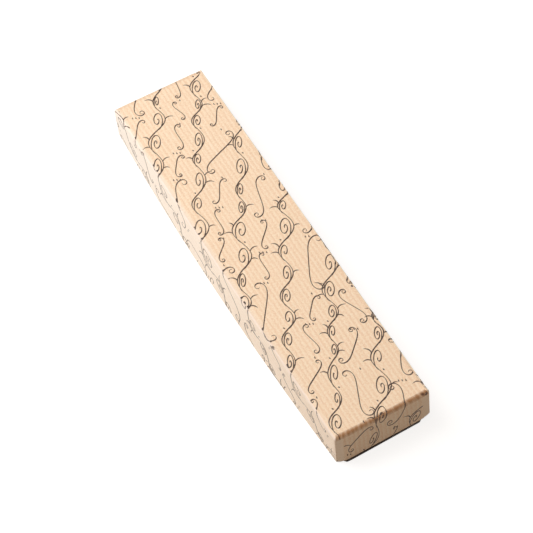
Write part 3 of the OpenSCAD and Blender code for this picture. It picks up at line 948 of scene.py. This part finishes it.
def penned(points):
    """A stroke through points, as wide as a slanted nib makes it, and tapered at its ends."""
    made = []
    last = len(points) - 1
    for i, (x, y) in enumerate(points):
        before, after = points[max(0, i - 1)], points[min(last, i + 1)]
        heading = math.atan2(after[1] - before[1], after[0] - before[0])
        width = THIN + (THICK - THIN) * abs(math.sin(heading - NIB_TURN)) ** NIB_CONTRAST
        made.append((x, y, width * min(1.0, 0.4 + 6 * min(i, last - i) / last)))
    return made


def drop(x, y, heading, length, bend, width):
    """A short touch of the nib that swells and bends."""
    made = []
    for t in steps(10):
        turned = heading + bend * t
        swell = math.sin(math.pi * min(1.0, 0.12 + 0.88 * t)) ** 0.8
        end_x = x + length * t * math.cos(turned)
        end_y = y + length * t * math.sin(turned)
        made.append((end_x, end_y, 0.12 + width * swell))
    return made


def vine(draw, reach):
    """A wandering stem, with a spiral tendril and swept leaves in each of its bays."""
    made = []
    stem = []
    x = -reach
    side = 1
    while x < reach:
        length = draw.uniform(9, 17)
        height = length * draw.uniform(0.2, 0.3)
        stem += [(x + length * t, side * height * math.sin(math.pi * t)) for t in steps(22)[:-1]]
        turns = draw.uniform(1.3, 2.1)
        tendril = []
        for t in steps(60):
            angle = math.pi - 2 * math.pi * turns * t
            out = TENDRIL_SIZE * length * (1 - t) ** 1.1 + 0.3
            rise = TENDRIL_RISE * height * out / (TENDRIL_SIZE * length) * math.sin(angle)
            end_x = x + TENDRIL_AT * length + out * math.cos(angle)
            tendril.append((end_x, side * (rise + 0.1 * height * t)))
        made.append(penned(tendril))
        for share in draw.choice(((0.5,), (0.38, 0.66), (0.3, 0.62), ())):
            top = side * height * math.sin(math.pi * share)
            slope = side * math.pi * height / length * math.cos(math.pi * share)
            lean = slope + side * draw.uniform(0.25, 0.5)
            made.append(drop(x + length * share, top, lean, draw.uniform(3.0, 5.0), side * 0.9, 0.8))
        if draw.random() < 0.45:
            made.append(drop(x + length, side * draw.uniform(1.4, 2.2), 0.4, 1.1, 0.4, 0.85))
        x += length
        side = -side
    made.append(penned(stem))
    return made


def scroll(length, power, curl, mirrored):
    """A line whose ends curl up, both to one side or one to each side."""
    count = 110
    x = y = heading = 0.0
    points = []
    for i in range(count + 1):
        t = 2 * i / count - 1
        points.append((x, y))
        bend = curl * abs(t) ** power * (1 if t > 0 or not mirrored else -1)
        heading += bend * 2 / count
        x += math.cos(heading) * length / count
        y += math.sin(heading) * length / count
    middle = points[count // 2]
    span = (points[-1][0] - points[0][0], points[-1][1] - points[0][1])
    level = Matrix.Rotation(-math.atan2(span[1], span[0]), 2)
    return [tuple(level @ Vector((a - middle[0], b - middle[1]))) for a, b in points]


def scrolls(draw, reach):
    """Large S and C scrolls one after another, with touches of the nib between them."""
    made = []
    x = -reach
    while x < reach:
        length = draw.choice((draw.uniform(20, 28), draw.uniform(34, 50)))
        line = scroll(length, draw.uniform(2.4, 3.4), draw.uniform(24, 34), draw.random() < 0.65)
        low, high = min(a for a, _ in line), max(a for a, _ in line)
        tilt = Matrix.Rotation(draw.uniform(-0.45, 0.45), 2)
        flip = draw.choice((-1, 1))
        at = Vector((x - low, draw.uniform(-1.2, 1.2)))
        made.append(penned([tuple(tilt @ Vector((a, flip * b)) + at) for a, b in line]))
        x += high - low + draw.uniform(1.5, 3.5)
        for i in range(draw.choice((1, 2, 3))):
            made.append(drop(x - 2.6, (i - 1) * 1.7, 0.9, 1.3, -0.5, 0.7))
    return made


def resampled(line, step):
    """The same stroke with points about a step apart."""
    made = [line[0]]
    for a, b in zip(line, line[1:]):
        count = max(1, math.ceil(math.hypot(b[0] - a[0], b[1] - a[1]) / step))
        for i in range(1, count + 1):
            made.append(tuple(a[k] + (b[k] - a[k]) * i / count for k in range(3)))
    return made


def film(verts, faces, run):
    """Adds an unbroken stretch of a stroke, closed at both ends."""
    if len(run) < 2:
        return
    start = len(verts)
    for trio in run:
        verts.extend(trio)
    for i in range(len(run) - 1):
        a = start + 3 * i
        faces.extend([a + k, a + 3 + k, a + 3 + (k + 1) % 3, a + (k + 1) % 3] for k in range(3))
    last = start + 3 * (len(run) - 1)
    faces.append([start, start + 1, start + 2])
    faces.append([last + 2, last + 1, last])


def inked(verts, faces, line):
    """Lays a stroke on the wrapped lid as a thin raised film of ink, broken where the paper hides it."""
    run = []
    for i, (u, v, width) in enumerate(line):
        before, after = line[max(0, i - 1)], line[min(len(line) - 1, i + 1)]
        along = Vector((after[0] - before[0], after[1] - before[1]))
        if along.length < SAME_SPOT:
            continue
        across = Vector((-along.y, along.x)).normalized() * width / 2
        trio = [
            place((u + side * across.x) * MM, (v + side * across.y) * MM, lift)
            for side, lift in ((1, PRINT_SINK), (0, PRINT_LIFT), (-1, PRINT_SINK))
        ]
        hidden = None in trio
        if hidden or run and (trio[1] - run[-1][1]).length > WIDEST_JUMP:
            film(verts, faces, run)
            run = []
        if not hidden:
            run.append(trio)
    film(verts, faces, run)


def flourishes():
    """The whole print, over the top and down the folded walls."""
    draw = random.Random(PRINT_SEED)
    reach = math.hypot(FLAT_X + WALL_END, FLAT_Y + WALL_END) / MM
    rows = math.ceil(reach * math.sin(ROW_TURN) / ROW_GAP)
    turned = Matrix.Rotation(ROW_TURN, 2)
    verts, faces = [], []
    for row in range(-rows, rows + 1):
        for line in (vine if row % 2 else scrolls)(draw, reach):
            moved = []
            for x, y, width in line:
                p = turned @ Vector((x, y + row * ROW_GAP))
                moved.append((p.x, p.y, width))
            if any(place(u * MM, v * MM, 0) for u, v, _ in moved):
                inked(verts, faces, resampled(moved, POINT_STEP))
    new_piece("lid_print", verts, faces, printed, "lid")


flourishes()


# The lid's board and its corner tapes, bulged with the paper


def packed_mesh(node_name):
    """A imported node's mesh, open for editing, with its doubled corners merged."""
    edit = bmesh.new()
    edit.from_mesh(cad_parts[node_name].data)
    bmesh.ops.remove_doubles(edit, verts=edit.verts, dist=SAME_SPOT)
    return edit


def taken_from(edit):
    """The corners and faces of an edited mesh, which is then freed."""
    edit.verts.index_update()
    verts = [v.co.copy() for v in edit.verts]
    faces = [[v.index for v in f.verts] for f in edit.faces]
    edit.free()
    return verts, faces


def bulged(node_name):
    """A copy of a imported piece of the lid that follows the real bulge, in the node's place."""
    verts, faces = taken_from(packed_mesh(node_name))
    verts = [flared(v) for v in verts]
    piece = new_piece(node_name + "_bulged", verts, faces, looks[node_name], "lid", smooth=False)
    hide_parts(node_name)


bulged("lid_board")
bulged("lid_corner_stays")


# Soft edges on folded paper and cut foam

FLAT_WITHIN = math.radians(0.3)
EDGE_OVER = math.radians(35)


def softened(node_name, width, body, material):
    """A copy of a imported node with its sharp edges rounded, in the node's place."""
    edit = packed_mesh(node_name)
    bmesh.ops.dissolve_limit(edit, angle_limit=FLAT_WITHIN, verts=edit.verts, edges=edit.edges)
    sharp = [e for e in edit.edges if len(e.link_faces) == 2 and e.calc_face_angle(0) > EDGE_OVER]
    bmesh.ops.bevel(
        edit, geom=sharp, offset=width, segments=3, profile=0.5, affect="EDGES", clamp_overlap=True
    )
    bmesh.ops.triangulate(edit, faces=edit.faces)
    verts, faces = taken_from(edit)
    piece = new_piece(node_name + "_soft", verts, faces, material, body)
    mark_sharp(piece, 50)
    flat_faces = piece.modifiers.new("flat_faces", "WEIGHTED_NORMAL")
    flat_faces.keep_sharp = True
    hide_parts(node_name)
    return piece


softened("base_wrap", 0.3 * MM, "base", dark_paper)
insert_soft = softened("insert", 0.5 * MM, "base", flock)
floor_soft = softened("insert_floor", 0.3 * MM, "base", flock)
pad_soft = softened("nib_box_pad", 0.5 * MM, "nib_box", looks["nib_box_pad"])


# The vial, blown with a rounded foot and shoulder and a screw thread on its neck, and the ink in it

vial_low, vial_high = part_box("ink_vial")
VIAL_X = (vial_low.x + vial_high.x) / 2
VIAL_Z = (vial_low.z + vial_high.z) / 2
VIAL_R = (vial_high.x - vial_low.x) / 2
GLASS_T = 0.9 * MM
VIAL_FLOOR = 1.4 * MM
NECK_R = 4.8 * MM
BORE_R = 3.5 * MM
NECK_L = 9 * MM
SHOULDER_L = 3.5 * MM
THREAD_PITCH = 3 * MM
THREAD_H = 0.2 * MM
FOOT_R = 1.2 * MM
LIP_R = (NECK_R - BORE_R) / 2
ROUND_STEPS = 72
INK_INTO_GLASS = 0.03 * MM


def shoulder(low_r, high_r):
    """The soft turn from the vial's body to its neck, as steps of place and radius."""
    start = vial_high.y - NECK_L - SHOULDER_L
    return [
        (start + SHOULDER_L * t, low_r + (high_r - low_r) * (0.5 - 0.5 * math.cos(math.pi * t)))
        for t in steps(10)
    ]


def foot(y, r, angles):
    """The round turn from a floor at y to a wall of radius r, at some angles."""
    return [(y + FOOT_R * (1 - math.sin(a)), r - FOOT_R * (1 - math.cos(a))) for a in angles]


def lathed(profile, count, ridge=None):
    """A closed turned form about the vial's axis. The profile starts and ends on the axis."""
    verts = [(VIAL_X, profile[0][0], VIAL_Z)]
    for y, r in profile[1:-1]:
        for k in range(count):
            angle = 2 * math.pi * k / count
            reach = r + (ridge(y, r, angle) if ridge else 0)
            verts.append((VIAL_X + reach * math.cos(angle), y, VIAL_Z + reach * math.sin(angle)))
    verts.append((VIAL_X, profile[-1][0], VIAL_Z))
    rings = len(profile) - 2
    last = len(verts) - 1
    faces = []
    for k in range(count):
        n = (k + 1) % count
        faces.append([0, 1 + k, 1 + n])
        for row in range(rings - 1):
            a = 1 + row * count
            faces.append([a + k, a + count + k, a + count + n, a + n])
        a = 1 + (rings - 1) * count
        faces.append([a + k, last, a + n])
    return verts, faces


def thread(y, r, angle):
    """Height of the screw thread on the outside of the neck, fading out at both ends."""
    if abs(r - NECK_R) > 0.01 * MM:
        return 0
    start = vial_high.y - NECK_L + 1.5 * MM
    end = vial_high.y - 1.2 * MM
    fade = 1 * MM
    wave = math.cos(2 * math.pi * (y / THREAD_PITCH) - angle)
    return THREAD_H * max(0.0, wave) ** 3 * between(start, start + fade, y) * between(end, end - fade, y)


def vial_bore():
    """The inside of the vial, from its shoulder to its floor, as steps of place and radius."""
    inner_r = VIAL_R - GLASS_T
    floor_y = vial_low.y + VIAL_FLOOR
    bottom = foot(floor_y, inner_r, (0.0, 0.4, 0.8, 1.2, 1.57))
    return list(reversed(shoulder(inner_r, BORE_R))) + bottom + [(floor_y, 0)]


def blown_vial():
    """The glass, from its dimpled foot over the shoulder, neck and lip and down the bore."""
    low, high = vial_low.y, vial_high.y
    dimple = [(low + 0.4 * MM, 0), (low + 0.25 * MM, VIAL_R * 0.55)]
    outside = foot(low, VIAL_R, (1.57, 1.2, 0.9, 0.6, 0.3, 0.0)) + shoulder(VIAL_R, NECK_R)
    neck = [(y, NECK_R) for y in spread(high - NECK_L, high - LIP_R, 0.25 * MM)[1:]]
    lip = [
        (high - LIP_R + LIP_R * math.sin(a), BORE_R + LIP_R + LIP_R * math.cos(a))
        for a in (0.5, 1.0, 1.57, 2.1, 2.6)
    ]
    profile = dimple + outside + neck + lip + [(high - LIP_R, BORE_R)] + vial_bore()
    verts, faces = lathed(profile, ROUND_STEPS, thread)
    piece = new_piece("vial_glass_body", verts, faces, glass, "vial")
    mark_sharp(piece, 60)
    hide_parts("ink_vial")


def ink_in_vial():
    """The ink: the shape of the bore, a little into the glass, cut level at the ink's height."""
    ink_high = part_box("ink")[1]
    filled = [(ink_high.y, 0), (ink_high.y, BORE_R)] + vial_bore()
    verts, faces = lathed([(y, r + INK_INTO_GLASS if r else 0) for y, r in filled], ROUND_STEPS)
    edit = bmesh.new()
    corners = [edit.verts.new(v) for v in verts]
    for f in faces:
        edit.faces.new([corners[i] for i in f])
    whole = list(edit.verts) + list(edit.edges) + list(edit.faces)
    level = Vector((0, 0, ink_high.z))
    cut = bmesh.ops.bisect_plane(edit, geom=whole, plane_co=level, plane_no=(0, 0, 1), clear_outer=True)
    rim = [e for e in cut["geom_cut"] if isinstance(e, bmesh.types.BMEdge)]
    bmesh.ops.holes_fill(edit, edges=rim)
    verts, faces = taken_from(edit)
    piece = new_piece("ink_in_vial", verts, faces, looks["ink"], "vial")
    mark_sharp(piece, 40)
    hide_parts("ink")


blown_vial()
ink_in_vial()


# The base's dark paper rolled into a bead under the lid's rim at the ends, a dark thing put there to stand
# in for the shade under the rim

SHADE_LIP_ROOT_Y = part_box("base_bottom_sheet")[1].y


def end_shade_lip(sy):
    """The base's dark paper run out under the rim at one end, with its edge rolled up as far as it can, as
    a dark stand-in for the shade under the rim.
    """
    bead = 0.56 * MM
    sheet_t = 0.2 * MM
    proud = 0.6 * MM
    flat_proud = 1.1 * MM
    tucked = 0.5 * MM
    taper = 1.8 * MM
    under_rim = 0.05 * MM
    past_left, short_of_right = 1.8 * MM, 0.3 * MM
    wave, wave_rate = 0.04, 1.7
    left, right = -FLAP_HALF - past_left, FLAP_HALF - short_of_right
    xs = spread(left, right, 0.8 * MM)
    arc = [math.radians(-90 + 26 * i) for i in range(11)]
    verts, faces = [], []
    for x in xs:
        full = between(0, taper, min(x - left, right - x))
        room = min(1.0, (dipped(x, RIM_Z) - under_rim) / (2 * bead))
        radius = bead * room * (0.5 + 0.5 * full) * (1 - wave + wave * math.sin(x / MM * wave_rate))
        reach = flat_proud + (proud - flat_proud) * room
        face_y = HALF_L + end_bulge(x / FLAT_X, RIM_Z) + reach * full - tucked * (1 - full)
        middle = face_y - radius
        top_z = min(sheet_t, radius)
        ring = [(SHADE_LIP_ROOT_Y, 0.0)]
        ring += [(middle + radius * math.cos(a), radius + radius * math.sin(a)) for a in arc]
        ring += [(middle - radius, top_z), (SHADE_LIP_ROOT_Y, top_z)]
        verts.extend((x, sy * y, z) for y, z in ring)
    count = len(arc) + 3
    for i in range(len(xs) - 1):
        a = i * count
        for k in range(count):
            n = (k + 1) % count
            faces.append([a + k, a + n, a + count + n, a + count + k])
    faces.append(list(range(count)))
    faces.append(list(range(len(verts) - count, len(verts))))
    if sy > 0:
        faces = [list(reversed(f)) for f in faces]
    name = "base_far_shade_lip" if sy > 0 else "base_near_shade_lip"
    lip = new_piece(name, verts, faces, dark_paper, "base")
    mark_sharp(lip, 40)


end_shade_lip(-1)
end_shade_lip(1)


# Floor, light and camera

FLOOR_SIZE = 3.0
FLOOR_Z = -0.02 * MM
FLOOR_SHADE = (0.24, 0.205, 0.17)
FLOOR_SEEN = 0.34
FLOOR_WHITE = 1.13
AMBIENT = 0.38
WARM = (1.0, 0.86, 0.73)
KEY_WATTS = 5.48
SIDE_WATTS = 1.82
LAMPS = (
    ("key", KEY_WATTS, 0.6, (0.99, 1.0, 1.0), Vector((-0.3, 0.42, 0.86))),
    ("side", SIDE_WATTS, 0.3, (0.86, 0.93, 1.0), Vector((-0.5, 0.22, 0.17))),
)


def seen_directly(nodes):
    """1 for what the camera sees, straight or in glass and metal, and 0 for light on the box."""
    kinds = ("Is Camera Ray", "Is Glossy Ray", "Is Transmission Ray")
    return nodes.highest([nodes.node("LightPath", output=kind) for kind in kinds])


def stage_floor():
    """A plain white floor with a light shadow. To the box it is duller and warm."""
    corners = [(x * FLOOR_SIZE, y * FLOOR_SIZE, FLOOR_Z) for x, y in ((-1, -1), (1, -1), (1, 1), (-1, 1))]
    mesh = bpy.data.meshes.new("floor")
    mesh.from_pydata(corners, [], [(0, 1, 2, 3)])
    floor = in_scene("floor", mesh)
    look = Look("white_floor")
    seen = seen_directly(look)
    look.tree.nodes.remove(look.surface)
    base = look.tint(FLOOR_SHADE, seen, [FLOOR_SEEN] * 3)
    diffuse = look.node("BsdfDiffuse", {"Color": base})
    glow = look.node("Emission", {"Strength": seen * (FLOOR_WHITE - FLOOR_SEEN)})
    both = look.node("AddShader", {0: diffuse, 1: glow})
    look.put(look.tree.nodes["Material Output"].inputs[0], both)
    mesh.materials.append(look.material)


def light():
    """A white surround, a soft key from above and behind, and a broad lamp low on the far left."""
    world = bpy.data.worlds.new("surround")
    world.use_nodes = True
    bpy.context.scene.world = world
    nodes = Nodes(world.node_tree)
    ambient = [AMBIENT * c / WARM[1] for c in WARM]
    shade = nodes.tint(ambient, seen_directly(nodes), (1.0, 1.0, 1.0))
    nodes.put(nodes.tree.nodes["Background"].inputs[0], shade)
    for name, watts, size, tint, at in LAMPS:
        lamp = bpy.data.lights.new(name, "AREA")
        lamp.energy = watts
        lamp.size = size
        lamp.color = tint
        hung = in_scene(name, lamp)
        hung.location = at
        hung.rotation_mode = "QUATERNION"
        hung.rotation_quaternion = at.to_track_quat("Z", "Y")


def camera():
    """The camera where the photographer stood, aimed at the middle of the lid's top."""
    back = Vector((
        math.sin(AZIMUTH) * math.cos(ELEVATION),
        -math.cos(AZIMUTH) * math.cos(ELEVATION),
        math.sin(ELEVATION),
    ))
    level = Vector((math.cos(AZIMUTH), math.sin(AZIMUTH), 0))
    rise = back.cross(level)
    right = level * math.cos(ROLL) + rise * math.sin(ROLL)
    up = rise * math.cos(ROLL) - level * math.sin(ROLL)
    data = bpy.data.cameras.new("camera")
    data.sensor_width = SENSOR
    data.lens = FOCAL_PX * SENSOR / PHOTO_PX
    data.clip_start = 0.05
    data.clip_end = 20
    view = in_scene("camera", data)
    at = back * DISTANCE - right * AIM_RIGHT - up * AIM_UP + Vector((0, 0, TOP_Z))
    turn = Matrix((right, up, back)).transposed()
    view.matrix_world = Matrix.Translation(at) @ turn.to_4x4()
    bpy.context.scene.camera = view


stage_floor()
light()
camera()
bpy.context.scene.view_settings.view_transform = "Standard"
